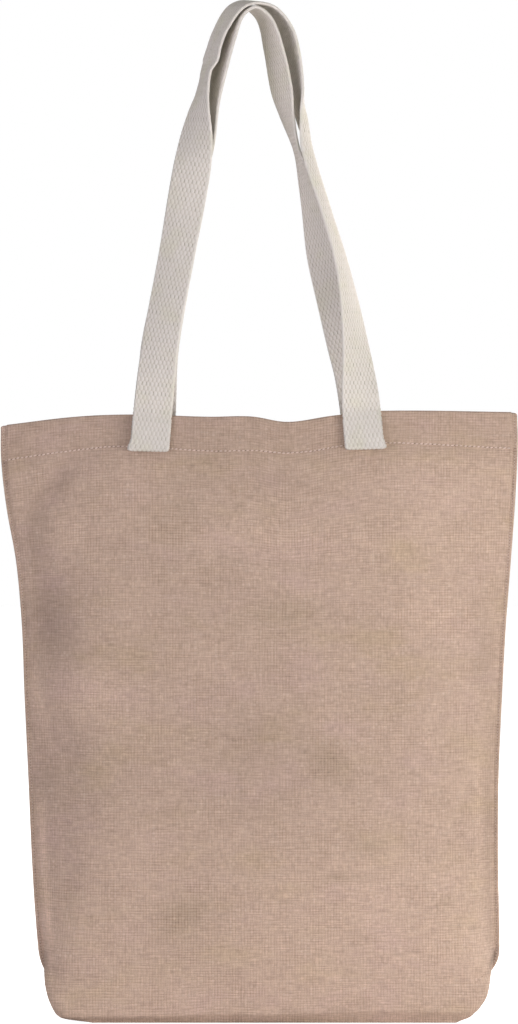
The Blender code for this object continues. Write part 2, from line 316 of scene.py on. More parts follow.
# stretch of the first and the second number, the noise's own place, scale, detail, roughness
juteNoises = {
    "sway": (1, 0.5, 0, 0.06, 2, 0.5),
    "slack": (0.5, 1, 8, 0.06, 2, 0.5),
    "warpTone": (3.71, 0.045, 2, 1, 2, 0.6),
    "weftTone": (5.37, 0.040, 9, 1, 2, 0.6),
    "warpThick": (1.93, 0.07, 5, 1, 2, 0.5),
    "weftThick": (2.57, 0.06, 7, 1, 2, 0.5),
    "warpGap": (2.31, 0.06, 4, 1, 2, 0.5),
    "weftGap": (4.13, 0.05, 6, 1, 2, 0.5),
    "openness": (0.8, 1, 60, 0.035, 2, 0.5),
    "patches": (0.6, 1, 0, 0.026, 3, 0.55),
    "tint": (0.5, 1, 40, 0.030, 3, 0.6),
    "hairs": (0.8, 1.2, 0, 1.9, 3, 0.8),  # loose ones
    "fibres": (0.085, 1.30, 12, 1, 3, 0.7),  # long ones that lie across
    "nicks": (1.15, 0.13, 15, 1, 3, 0.6),  # short upright ones
    "knots": (1.37, 1.91, 33, 1, 1, 0.5),  # a tone for each crossing
    "specks": (1, 1, 22, 0.42, 1, 0.5),
}


def makeJute():
    material, shader, u, v = startMaterial("jute")

    def grain(name, first, second):
        return readNoise(juteNoises[name], first, second)

    # yarns of uneven pitch, which wander a little
    unevenU = u.vector(17.0).noise(0.33) * jute["unevenPitch"] * 2
    unevenV = v.vector(29.0).noise(0.33) * jute["unevenPitch"] * 2
    across = (u + unevenU + grain("sway", u, v) * jute["wander"]) / jute["warpPitch"]
    along = (v + unevenV + grain("slack", u, v) * jute["wander"]) / jute["weftPitch"]
    warp, weft = across.floor(), along.floor()
    acrossWave = (across * math.pi).sine()
    alongWave = (along * math.pi).sine()
    acrossRound, alongRound = acrossWave.absolute(), alongWave.absolute()
    over = (acrossWave * alongWave).band(-0.10, 0.10)  # 1 where an upright yarn is on top
    # each yarn has its own tone and width, which drift along it in slubs
    warpTone, weftTone = grain("warpTone", warp, v), grain("weftTone", weft, u)
    thick = grain("warpThick", warp, v) * over + grain("weftThick", weft, u) * (1 - over)
    # the gaps between them are open in some places and shut in others
    stain = readShade(u, "stain").clamp()
    openness = grain("openness", u, v).band(*jute["openness"]) + stain * jute["stainOpenness"]
    warpGap = grain("warpGap", (across + 0.5).floor(), v).band(*jute["warpGap"])
    weftGap = grain("weftGap", (along + 0.5).floor(), u).band(*jute["weftGap"])
    warpGap = (1 - acrossRound).power(jute["gapFall"]) * warpGap
    weftGap = (1 - alongRound).power(jute["gapFall"]) * weftGap
    crossGap = (1 - acrossRound) * (1 - alongRound) * jute["crossGap"]
    gapShade = ((warpGap + weftGap + crossGap) * openness).clamp()
    tint, specks, hairs = (grain(name, u, v) for name in ("tint", "specks", "hairs"))
    tone = warpTone * over + weftTone * (1 - over)
    span, share = jute["toneSpan"], jute["tintShare"]
    colour = (tone.band(0.0, span) * jute["paleShare"]).mix(jute["colour"], jute["pale"])
    colour = tone.band(-span, 0.0, jute["dullShare"], 0.0).mix(colour, jute["dark"])
    colour = (tint.band(0.0, jute["tintSpan"]) * share).mix(colour, jute["olive"])
    colour = tint.band(-jute["tintSpan"], 0.0, share, 0.0).mix(colour, jute["mauve"])
    colour = stain.mix(colour, jute["stain"])
    # dark specks in the yarn, in the colour of the gaps' painted shade
    colour = (specks.band(*jute["speckBand"]) * jute["speckShare"]).mix(colour, jute["gapShade"])
    # painted shade in the gaps beside the yarns and in the holes where they cross
    colour = gapShade.mix(colour, jute["gapShade"])
    # painted light that is paler low down, darker towards the hem, with the painted shade and
    # painted highlights
    paintedLight = v.band(*jute["paintedLight"]) * v.band(*jute["hemDarkening"]) * (1 + readShade(u, "shade"))
    level = jute["level"] + hairs * jute["hairs"] + grain("knots", warp, weft) * jute["knots"]
    for name in ("patches", "fibres", "nicks"):
        level = level + grain(name, u, v) * jute[name]
    colour = (level * paintedLight).brighten(colour)
    # yarns stand up in the middle, and most of all where they cross over another
    warpBody = acrossRound.power(jute["yarnRound"]) * (0.6 + alongRound * 0.4)
    weftBody = alongRound.power(jute["yarnRound"]) * (0.6 + acrossRound * 0.4)
    height = (warpBody * over + weftBody * (1 - over)) * (1.0 + thick) \
        + hairs * jute["hairRelief"] + tone * jute["toneRelief"]
    roughness = jute["roughness"] - gapShade * jute["gapRoughness"]
    return finishMaterial(material, shader, colour, roughness, height, jute["relief"])


webbing = {
    "width": 28.5,
    "thickness": 2.2,
    "sewnThickness": 1.8,
    "column": 3.0,  # between two columns of raised ovals
    "row": 3.3,  # between two rows, each set off by half a column
    "ovalWidth": 2.35,
    "ovalHeight": 3.9,
    "relief": 0.17,
    "edgeInset": 0.28,  # the edges are rounded over this much of the width
    "edgeShare": 0.72,  # and to this share of the thickness
    "edgeFlat": 2.2,  # the ovals fade this near to an edge
    "colour": (0.672, 0.640, 0.601, 1),
    "warm": (0.65, 0.63, 0.54, 1),
    # painted shade in the grooves round the ovals, and darker painted shade in the pits between
    # them
    "outline": (0.50, 0.445, 0.38, 1),
    "pitShade": (0.235, 0.215, 0.15, 1),
    "pull": 1.1,  # how far the ovals lie off their lattice, across and along
    "shift": 1.3,
    "plyWidth": 0.75,
    "plyLength": 3.0,
    "edgeBand": (0.7, 2.0),  # from an edge, where the painted shade of outlines and pits sets in
    "outlineBand": (0.78, 1.08),  # from an oval's middle, in ovals
    "outlineShare": 0.55,
    "pitBand": (1.04, 1.28),
    "pitShare": 0.8,
    "pitDepth": (-0.2, 0.2, 0.1, 1.5),  # the pits' painted shade is darker in some places
    "warmBand": (-0.05, 0.25),
    "speckBand": (0.26, 0.36),
    "hairs": 0.20,
    "roughness": 0.9,
    "yarnRelief": 0.16,
}

# columns as in the jute's table of noises
webbingNoises = {
    "pull": (1, 1, 0, 0.22, 2, 0.5),
    "shift": (1, 1, 5, 0.3, 2, 0.5),
    "pitDepth": (0.7, 1, 9, 0.30, 1, 0.5),
    "hairs": (1, 0.5, 3, 2.2, 3, 0.7),
    "specks": (1, 1, 14, 0.9, 1, 0.5),
    "patches": (1, 1, 3, 0.045, 2, 0.5),
}


def makeCotton():
    material, shader, u, v = startMaterial("cotton")
    column, row = webbing["column"], webbing["row"]
    pull, shift, pitDepth, hairs, specks, patches = (
        readNoise(noise, u, v) for noise in webbingNoises.values())
    pull, shift = pull * webbing["pull"], shift * webbing["shift"]

    def ovalAway(sideways, upwards):
        # nought at the middle of an oval of one lattice, one at its edge
        du = ((u + pull + sideways) / column).fromNearest() * (column * 2 / webbing["ovalWidth"])
        dv = ((v + shift + upwards) / (2 * row)).fromNearest() * (row * 4 / webbing["ovalHeight"])
        return (du * du + dv * dv).power(0.5)

    away = ovalAway(0.0, 0.0).least(ovalAway(column / 2, row))
    flat = readShade(u, "sewn")  # pressed flat where it is sewn down
    # painted shade: the grooves round the ovals and the pits between them are darker, one row of
    # pits in two the most
    everySecond = (v * (math.pi / row) + math.pi / 2).sine() * 0.3 + 0.7
    inside = (u * (1 / webbing["width"])).fromNearest().absolute() * webbing["width"]
    inside = inside.band(*webbing["edgeBand"])
    outline = away.band(*webbing["outlineBand"])
    outline = outline * (webbing["outlineShare"] - flat * 0.15) * inside
    pitShades = away.band(*webbing["pitBand"]) * everySecond * pitDepth.band(*webbing["pitDepth"])
    pitShades = pitShades * (1 - flat * 0.45) * inside
    plies = u * (2 * math.pi / webbing["plyWidth"]) + v * (2 * math.pi / webbing["plyLength"])
    plies = plies.sine()
    specks = specks.band(*webbing["speckBand"]) * (0.12 + flat * 0.4)
    colour = patches.band(*webbing["warmBand"]).mix(webbing["colour"], webbing["warm"])
    colour = outline.mix(colour, webbing["outline"])
    # the pits' painted shade, with dark specks in the same colour
    colour = (pitShades * webbing["pitShare"] + specks).clamp().mix(colour, webbing["pitShade"])
    level = (1.0 + hairs * webbing["hairs"] + plies * 0.015) * (1 - flat * 0.09)
    colour = level.brighten(colour)
    height = (1.2 - away).band(0.0, 1.0) + plies * 0.08 + hairs * 0.5
    roughness = webbing["roughness"] - pitShades * 0.05
    return finishMaterial(material, shader, colour, roughness, height, webbing["yarnRelief"])


thread = {
    "colour": (0.64, 0.51, 0.455, 1),
    "pitch": 3.3,  # along the hem
    "length": 2.4,
    "radius": 0.5,
    "slant": 16.0,  # degrees
    "sidePitch": 2.2,  # along the side seams
    "sideLength": 1.5,
    "sideColour": (0.50, 0.385, 0.325, 1),
    "sideStart": 34.0,  # the lowest topstitch
    "overlap": 3,  # columns by which the hem's row runs on to the fins
    "shortfall": 4,  # and by which it stops short inside
    "holeShade": (0.13, 0.085, 0.06, 1),  # painted shade: a dark plug in the hole where the needle went in
    "holeRadius": 0.5,
    "holeDepth": 0.4,
    "holeSink": 0.28,  # in radii
    "holeSize": (0.4, 0.8),
    "sideHoleSize": (0.7, 1.1),
    "facets": 6,
    "dive": 1.3,  # of a stitch's ends into the cloth, in radii
    "taper": 0.45,
    "rise": (0.3, 0.6),  # of a stitch above the cloth, in radii
    "turn": 6.0,  # turn, drift and stretch make the stitches uneven
    "drift": 0.2,
    "stretch": (0.85, 1.08),
    "seed": 11,
    "roughness": 0.8,
    "fuzzRelief": 0.1,
}


def makeThread():
    material, shader, u, _ = startMaterial("thread")
    place = u.node("ShaderNodeTexCoord", output=3)
    fuzz = place.noise(1 / unit, 2.0)
    colour = readShade(u, "side").mix(thread["colour"], thread["sideColour"])
    # the plugs at the needle holes are dark with painted shade
    colour = readShade(u, "holeShade").mix(colour, thread["holeShade"])
    colour = (1.0 + fuzz * 0.5).brighten(colour)
    roughness = thread["roughness"] + fuzz * 0.1
    return finishMaterial(material, shader, colour, roughness, fuzz, thread["fuzzRelief"])


juteMaterial, cottonMaterial, threadMaterial = makeJute(), makeCotton(), makeThread()
print("materials made")


body = {
    "rim": 445.0,
    "hemDepth": 26.0,
    "cloth": 1.5,  # one layer
    "hem": 3.0,  # the folded hem
    "hemEdge": 1.2,  # height of its step inside
    "hemEase": 90.0,  # the sides make room for it over this height below
    "baseDepth": 28.0,
    "seamSpace": 0.7,
    "sideBend": 0.8,
    "cornerSteps": 24,
    "halfColumns": 64,
    "crowding": 1.15,
    "foldClearance": 12.0,  # troughs and ridges fade where the faces meet
    "ridgeClearance": 2.0,
    "rimFade": 150.0,
    "backRimDrop": 1.5,
    "rimRadius": 1.5,
    "foldRise": 20.0,  # folds grow over this height from the base
    "bulge": 6.0,  # of the filled bag's faces
    "bulgeMiddle": 15.0,
    "bulgeReach": 135.0,
    "bulgeFallBack": 0.35,  # share by which the shoulders fall back
    "bulgeFoot": 10.0,  # where it starts, and the height that it takes
    "bulgeRise": 110.0,
    "bulgeTop": 290.0,  # where it ends, and the height that it takes
    "bulgeFade": 120.0,
    "seamEase": 16.0,  # beside the side seams the faces level out
    "seamSlope": 0.3,
    "grooveDepth": 0.45,  # where the hem's stitches press in
    "grooveWidth": 1.0,
    "leastDepth": 0.35,  # that the two faces keep from the middle plane
}

# half sections: height, seam left and right, corner left and right, depth, corner depth, bend
bodySections = [
    (0, 125, 143, 125, 143, 28, 28, 0),
    (2.5, 137, 146, 151.5, 159.5, 31.4, 29.2, 24),
    (6.5, 140.7, 149.4, 158.7, 165.8, 35.9, 32.9, 24),
    (9, 142.5, 150.9, 161.4, 168.6, 36.1, 33, 24),
    (18, 146.6, 154.6, 166.3, 174.8, 35.8, 32.5, 24),
    (30, 152.3, 159.7, 168.8, 176.9, 35.5, 31, 26),
    (44, 159.4, 169.8, 165, 173.5, 35.2, 30.5, 30),
    (58, 161.6, 171.2, 156, 165, 35, 31, 36),
    (110, 165.3, 170.3, 146, 152, 34.5, 32, 50),
    (180, 168.4, 170.6, 145, 150, 33.5, 31.5, 60),
    (240, 171.2, 173.2, 147, 151, 32.5, 30.5, 60),
    (290, 173.1, 175.9, 147, 150, 31, 29, 60),
    (340, 177.3, 179.8, 140, 142, 28.5, 27, 64),
    (385, 184.7, 183.1, 122, 122, 25.5, 24, 76),
    (420, 188.4, 184.7, 108, 108, 22, 20.5, 90),
    (450, 188.6, 184, 105, 105, 20, 19, 95),
]

# how much the faces level out beside the left (-1) and right (1) seams, by height
seamEaseShares = {
    -1: [(0, 0), (20, 0), (60, 1), (225, 1), (262, 0.15), (375, 0.15), (420, 0.9), (450, 1)],
    1: [(0, 0), (20, 0), (60, 1), (450, 1)],
}

# rise of the rim and of the base creases along x
rimWaves = [(-190, -6.0), (-137, 0.0), (-95, 1.5), (-40, -0.2), (-8, 0.0), (19, -4.0),
            (52, 0.6), (88, 4.2), (185, 3.6)]
creaseWaves = [(-150, -1.8), (-60, -0.8), (-33, 0.8), (0, 0.3), (50, 1.5), (84, 2.3),
               (120, 1.8), (158, 1.2)]
creaseShares = [(0, 0), (2.5, 0.3), (6.5, 1.0), (18, 0.7), (30, 0.3), (45, 0), (450, 0)]

# how far below the rim the hem is stitched, along x
hemLine = [(-188, 26.0), (-156, 25.3), (-128, 24.4), (-109, 23.4), (-67, 24.5), (-13, 25.4),
           (19, 22.9), (43, 23.8), (57, 23.0), (95, 23.7), (141, 25.4), (183, 26.9)]

# soft folds: side (-1 is the front), x, height, half width, half height, lean, depth
folds = [
    (-1, -167, 386, 14, 28, 0.90, 5.2),
    (-1, -169, 344, 12, 34, 0.10, 3.4),
    (-1, -168, 298, 22, 38, -0.05, 7),
    (-1, -166, 228, 7, 22, -0.05, -2.2),
    (-1, -148, 186, 17, 34, -0.10, 4.8),
    (-1, -161.5, 100, 4.6, 46, -0.057, -4.5),
    (-1, -146, 118, 8, 56, 0.00, 2.6),
    (-1, -142, 38, 9, 14, 0.00, 1.6),
    (-1, 160, 170, 7, 70, 0.00, -1.8),
    (-1, 169, 96, 3, 46, 0.02, 1.4),
    (-1, 146, 90, 12, 60, 0.05, 1.8),
    (-1, 60, 200, 60, 110, 0.05, -1.5),
    (-1, -40, 190, 34, 110, 0.00, 1.2),
    (-1, -62, 350, 26, 60, 0.35, 1.6),
    (-1, 22, 300, 46, 30, 0.10, 1.6),
    (-1, -12, 414, 34, 14, 0.00, -1.6),
    (1, 150, 300, 16, 48, -0.05, 4.2),
    (1, -148, 210, 15, 60, 0.08, 3.6),
    (1, 30, 340, 50, 36, 0.20, 2.2),
    (1, -60, 120, 60, 30, -0.20, 1.6),
]

# duller places on the cloth: side (-1 is the front), x, height, half width, half height, lean,
# and how dull
stains = [
    (-1, 17, 300, 26, 11, 0.3, 0.34),
    (-1, 49, 193, 14, 17, -0.4, 0.30),
    (-1, 77, 130, 11, 8, 0, 0.30),
    (-1, 57, 107, 13, 3, 0, 0.34),
    (-1, -58, 80, 20, 17, 0.3, 0.40),
    (-1, 134, 89, 6, 6, 0, 0.26),
    (-1, -64, 373, 20, 45, 0.3, 0.22),
    (1, -40, 310, 24, 13, -0.3, 0.30),
    (1, 62, 240, 16, 20, 0.4, 0.28),
    (1, -95, 150, 20, 9, 0, 0.26),
    (1, 20, 96, 26, 12, 0.2, 0.24),
    (1, 110, 360, 16, 30, 0.3, 0.24),
]

# painted shade (below nought) and painted highlights: side, x, height, half width, half height,
# lean, amount
paintedShadeAndHighlights = [
    (-1, -156, 292, 19, 27, -0.2, -0.19),
    (-1, -168, 360, 8, 30, 0, -0.17),
    (-1, -163, 178, 10, 13, 0, -0.13),
    (-1, -152, 398, 12, 12, 0.6, -0.12),
    (-1, -143, 357, 14, 13, 0, 0.12),
    (-1, -126, 238, 24, 16, 0, 0.11),
    (-1, -161.5, 132, 3, 26, -0.03, 0.22),
    (-1, -158, 78, 3.6, 26, -0.09, 0.26),
    (-1, 164, 270, 9, 34, 0, -0.12),
    (-1, 168, 110, 5, 90, 0, -0.10),
    (-1, 170.5, 45, 2.2, 7, 0.4, -0.45),
    (-1, -160, 43, 2.4, 9, 0, -0.30),
    (-1, -163.5, 231, 4, 26, -0.32, 0.14),
    (-1, 159, 165, 2.6, 60, 0, 0.09),
    (-1, 4, 205, 44, 56, 0, -0.07),
    (-1, 6, 400, 34, 11, 0, -0.10),
    (-1, -112, 228, 18, 44, 0, 0.05),
    (-1, 118, 297, 26, 17, 0, 0.10),
    (-1, 124, 385, 24, 40, 0, 0.06),
    (-1, 40, 356, 110, 11, 0, 0.07),
    (1, 150, 300, 18, 40, 0, -0.12),
    (1, -140, 200, 20, 44, 0.1, -0.10),
    (1, 10, 120, 60, 40, 0, 0.06),
]

# the fin of a side seam, from the wall out and back: reach out and share of half its thickness
finOutline = [(0.8, 0.84), (1.5, 0.96), (1.9, 0.90), (2.3, 0.80), (2.7, 0.90), (3.2, 0.97),
              (3.8, 0.90), (4.25, 0.66), (4.45, 0.30)]
# its thickness, the reach of its stitched groove, and the heights between which it grows
fin = {"cloth": 3.4, "hem": 6.4, "groove": 2.3, "fadeStart": 8.0, "fadeEnd": 22.0}
turnAngles = np.radians((30, 60, 90, 120, 150))  # steps round a folded edge

outerStretches = [(0, 6.5, 0.8), (6.5, 14, 1.25), (14, 50, 2.8), (50, 414, 3.4),
                  (414, 425, 0.8), (425, 443.5, 2.6)]
innerStretches = [(443.5, 420.4, 2.6), (420.4, 418.4, 0.5), (418.4, 14, 8.0)]
# the inner skin near the base: its height, the section that it follows, and the wall there
innerFoot = [(8.5, 7.5, 1.5), (4.0, 2.5, 1.2), (1.5, 0.0, 0.0)]


def halfSection(height, side):
    # half a panel's section, from the middle out to the left (-1) or right (1) side seam
    _, seamLeft, seamRight, cornerLeft, cornerRight, depth, cornerDepth, bend = \
        readTable(bodySections, height)[0]
    cornerX, seamX = (cornerLeft, seamLeft) if side < 0 else (cornerRight, seamRight)
    ease = (height - body["rim"] + body["hemDepth"] + body["hemEase"]) / body["hemEase"]
    layer = body["cloth"] + (body["hem"] - body["cloth"]) * float(smoothStep(ease))
    centre = np.array((0.0, depth))
    corner = np.array((cornerX, cornerDepth))
    seam = np.array((seamX, layer + body["seamSpace"]))
    enter = corner + (centre - corner) / np.linalg.norm(centre - corner) * bend
    leave = corner + (seam - corner) * body["sideBend"]
    t = np.linspace(0, 1, body["cornerSteps"] + 1)[:, None]
    curve = (enter * (1 - t) + corner * t) * (1 - t) + (corner * (1 - t) + leave * t) * t
    points = np.vstack((centre, curve, seam))
    near = np.clip((seamX - points[:, 0]) / body["seamEase"], 0, 1)
    share = body["seamSlope"] + (1 - body["seamSlope"]) * near * (2 - near)
    grown = float(readTable(seamEaseShares[side], height)[0, 1])
    points[:, 1] = seam[1] + (points[:, 1] - seam[1]) * (1 + (share - 1) * grown)
    return points


def bulgeAt(x, height):
    # how far a face swells out, and its shoulders fall back
    across = 1 - smoothStep((np.abs(x) - body["bulgeMiddle"]) / body["bulgeReach"])
    up = smoothStep((height - body["bulgeFoot"]) / body["bulgeRise"]) \
        * (1 - smoothStep((height - body["bulgeTop"]) / body["bulgeFade"]))
    return body["bulge"] * (across - body["bulgeFallBack"]) * up


def softFolds(side, x, height):
    # how far the folds sink a face
    total = np.zeros(np.broadcast(x, height).shape)
    for foldSide, foldX, foldHeight, halfWidth, halfHeight, lean, depth in folds:
        if foldSide == side:
            up = height - foldHeight
            across = (x - foldX - lean * up) / halfWidth
            total += depth * np.exp(-across**2 - (up / halfHeight) ** 2)
    return total * smoothStep(height / body["foldRise"])


def riseOf(side, x, height):
    # how far the rim's and the base creases' waves lift a point
    start = body["rim"] - body["hemDepth"] - body["rimFade"]
    fade = smoothStep((height - start) / body["rimFade"])
    rim = readTable(rimWaves, x.ravel())[:, 1].reshape(x.shape)
    crease = readTable(creaseWaves, x.ravel())[:, 1].reshape(x.shape)
    share = readTable(creaseShares, np.ravel(height))[:, 1].reshape(np.shape(height))
    return (rim - (body["backRimDrop"] if side > 0 else 0)) * fade + crease * share


def stitchGroove(x, height):
    line = body["rim"] - readTable(hemLine, x.ravel())[:, 1].reshape(x.shape)
    return body["grooveDepth"] * np.exp(-((height - line) / body["grooveWidth"]) ** 2)


def panelLine(side, height):
    # a panel's points at one height from left to right: x, and how far out they lie
    shares = 1 - (1 - np.linspace(0, 1, body["halfColumns"] + 1)) ** body["crowding"]
    line = []
    for half in (-1, 1):
        points = halfSection(height, half)
        lengths = lengthsAlong(points)
        x = np.interp(shares * lengths[-1], lengths, points[:, 0]) * half
        depth = np.interp(shares * lengths[-1], lengths, points[:, 1])
        line.append(np.stack((x, depth), axis=1))
    return np.vstack((line[0][::-1], line[1][1:]))


def panelRows(side, heights, sectionHeights, walls):
    # rows of a panel's points, sunk by its folds and then by its wall; from left to right
    rows = []
    for height, sectionHeight, wall in zip(heights, sectionHeights, walls):
        line = panelLine(side, sectionHeight)
        space = line[:, 1] - body["cloth"] - body["seamSpace"]
        sunk = softFolds(side, line[:, 0], sectionHeight) + stitchGroove(line[:, 0], height) \
            - bulgeAt(line[:, 0], sectionHeight)
        clearance = np.where(sunk > 0, body["foldClearance"], body["ridgeClearance"])
        sunk = sunk * smoothStep(space / clearance)
        flat = np.stack((line[:, 0], line[:, 1] - sunk), axis=1)
        along = unitVectors(np.gradient(flat, axis=0))
        flat = flat - np.stack((-along[:, 1], along[:, 0]), axis=1) * wall
        depth = np.maximum(flat[:, 1], body["leastDepth"])
        lift = riseOf(side, line[:, 0], sectionHeight)
        rows.append(np.stack((flat[:, 0], side * depth, height + lift), axis=1))
    return np.array(rows)


def finRows(heights, front, back, side):
    # the fin's points at each height, from the front panel's end out and round to the back's
    seam = (front + back) / 2
    along = unitVectors(np.gradient(seam, axis=0))
    out = np.stack((side * along[:, 2], np.zeros(len(seam)), -side * along[:, 0]), axis=1)
    grown = smoothStep((heights - fin["fadeStart"]) / (fin["fadeEnd"] - fin["fadeStart"]))
    thick = np.where(heights > body["rim"] - body["hemDepth"], fin["hem"], fin["cloth"])
    # half the thickness, with a soft step at the hem
    thick = np.convolve(np.pad(thick, 1, "edge"), (0.25, 0.5, 0.25), "valid") / 2
    columns = []
    for reach, share in [(reach, -share) for reach, share in finOutline] + finOutline[::-1]:
        point = seam + out * (reach * grown)[:, None]
        point[:, 1] = share * (thick * grown + (1 - grown) * abs(front[:, 1]))
        columns.append(point)
    return np.stack(columns, axis=1)


def innerSeam(front, back, count):
    # points from one panel's inner edge to the other's; the fin is solid, so it has no inside
    shares = np.linspace(0, 1, count + 2)[1:-1]
    return front[:, None] * (1 - shares)[:, None] + back[:, None] * shares[:, None]


def joinRing(front, right, back, left):
    # once round: front from left to right, right fin, back from right to left, left fin
    return np.concatenate((front, right, back[:, ::-1], left), axis=1)


def makeBodyRings():
    heights = stepped(outerStretches)
    still = np.zeros(len(heights))
    front, back = (panelRows(side, heights, heights, still) for side in (-1, 1))
    right = finRows(heights, front[:, -1], back[:, -1], 1)
    left = finRows(heights, front[:, 0], back[:, 0], -1)[:, ::-1]
    outer = joinRing(front, right, back, left)
    inside = stepped(innerStretches)
    wall = body["cloth"] + (body["hem"] - body["cloth"]) \
        * smoothStep((inside - body["rim"] + body["hemDepth"]) / body["hemEdge"] + 0.5)
    foot = np.array(innerFoot)
    heights = np.concatenate((inside, foot[:, 0]))
    sections = np.concatenate((inside, foot[:, 1]))
    wall = np.concatenate((wall, foot[:, 2]))
    front, back = (panelRows(side, heights, sections, wall) for side in (-1, 1))
    count = 2 * len(finOutline)
    right = innerSeam(front[:, -1], back[:, -1], count)
    left = innerSeam(back[:, 0], front[:, 0], count)
    inner = joinRing(front, right, back, left)
    # the rim is a rounded fold from the outer skin to the inner one
    rim = []
    for angle in turnAngles:
        ring = (outer[-1] + inner[0]) / 2 + (outer[-1] - inner[0]) / 2 * math.cos(angle)
        ring[:, 2] += body["rimRadius"] * math.sin(angle)
        rim.append(ring)
    return outer, np.array(rim), inner


def baseUvs(ring):
    # the base runs on from the foot of the front
    return np.stack((ring[:, 0], -body["baseDepth"] - ring[:, 1]), axis=1)


def panelPlaces(rings):
    # each panel is measured from its own middle out to the middles of the fins, at each ring
    size = rings.shape[1]
    columns = np.arange(size)
    frontMiddle, backMiddle = body["halfColumns"], body["halfColumns"] + size // 2
    steps = np.linalg.norm(np.roll(rings, -1, axis=1) - rings, axis=2)
    lengths = np.concatenate((np.zeros((len(rings), 1)), np.cumsum(steps, axis=1)), axis=1)
    whole = lengths[:, -1:]
    left = lengths[:, :-1] - lengths[:, frontMiddle, None]
    isBack = np.abs(columns - backMiddle) < size // 4
    isLeftFin = columns >= backMiddle + size // 4
    left = np.where(isLeftFin, left - whole, left)
    left = np.where(isBack, lengths[:, :-1] - lengths[:, backMiddle, None] + body["rim"] * 2, left)
    return left, left + steps


def makeBody():
    outer, rim, inner = makeBodyRings()
    rings = np.concatenate((outer, rim, inner))
    middleColumn = rings[:, body["halfColumns"]]
    along = lengthsAlong(middleColumn)
    piece = loftRings("cloth_body", rings, panelPlaces(rings), along,
                      (baseUvs(rings[0]), baseUvs(rings[-1])), juteMaterial)
    flat = rings.reshape(-1, 3)
    # stains, and the painted shade and painted highlights, become numbers on the points
    for name, table in (("stain", stains), ("shade", paintedShadeAndHighlights)):
        amounts = np.zeros(len(flat))
        for side, x, height, halfWidth, halfHeight, lean, amount in table:
            across = flat[:, 0] - x - lean * (flat[:, 2] - height)
            near = np.exp(-(across / halfWidth) ** 2 - ((flat[:, 2] - height) / halfHeight) ** 2)
            amounts += amount * near * (flat[:, 1] * side > 0)
        addShade(piece, name, amounts)
    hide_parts("body")
    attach(piece, "root")
    return piece, outer, inner


clothBody, outerSkin, innerSkin = makeBody()
print("body made:", len(clothBody.data.polygons), "faces")


handle = {
    "acrossStep": 0.75,  # between the mesh's points
    "alongStep": 0.825,
    "sewnGap": 0.35,
    "liftOff": 30.0,
    "foldedLength": 22.0,  # turned under at each end
    "foldRadius": 1.12,  # of the turn, at the middle of the webbing
    "settleStart": -4.0,  # height from the rim where the two layers start to become one
    "settle": 14.0,  # and the height that it takes
    "cornerRadius": 2.8,
    "cornerWidth": 4.0,  # how much of the width the rounding moves
    "spread": {-1: 2.4, 1: 2.1},  # of the left and right ends' outer corners
    "spreadHeight": 10.0,
    "skew": 0.054,  # of the lower edge, down to the outer corner
    "scallop": (0.07, 0.42),  # of the edges: hanging, and sewn down
}

# paths from the left end to the right end: x, y, z, turn of the front edge towards +X,
# roll of that edge downwards, and cup
frontPath = [
    (-82.6, -20, 421.1, 90, 0, 0),
    (-80.6, -20, 446, 90, 0, 0),
    (-74.8, -17.5, 499, 72, 0, 0.5),
    (-62.8, -16, 565, 71, 0, 1),
    (-53, -14.5, 620, 82, 0, 1),
    (-49.2, -13.5, 646, 62, 0, 1),
    (-47, -13.1, 667, 36, 0, 0.6),
    (-45.7, -12.9, 675.3, 26.5, 0, 0.5),
    (-44.6, -12.7, 681, 20.4, 0, 0.5),
    (-43.4, -12.5, 687.6, 16.8, 0, 0.4),
    (-42.1, -12.2, 694.2, 14.5, 0, 0.2),
    (-40.9, -11.8, 700, 15.5, 0, 0),
    (-39.2, -11.5, 704.1, 19.7, 0, 0),
    (-38, -11.3, 706.6, 22.5, 0, 0),
    (-37.2, -11, 709.9, 23.3, 0, 0),
    (-35.5, -10.4, 716.4, 21.5, 0, 0),
    (-31, -8.8, 729, 21.5, 1, 0),
    (-20.4, -5, 746.2, 23, 5, 0),
    (-9.2, -0.4, 751.6, 24, 7.5, 0),
    (5.8, 4.8, 747.9, 24, 7, 0),
    (17.2, 9, 732, 24, 1, 0),
    (23.2, 10, 710, 22, 0, 0),
    (27.2, 9, 687, 17.5, 0, 1.5),
    (28.6, 7.8, 676, 13, 0, 3.2),
    (31, 6.5, 666, 5, 0, 5.3),
    (35.2, 3, 642, -11, 0, 4.5),
    (48.3, -3, 598, -15.2, 0, 2.5),
    (58, -7.5, 565, -18.5, 0, 2),
    (64.8, -11, 532, -27, 0, 1.5),
    (70.3, -15, 487, -50, 0, 0.5),
    (73.4, -20, 446, -86, 0, 0),
    (75.3, -20, 422.6, -90, 0, 0),
]
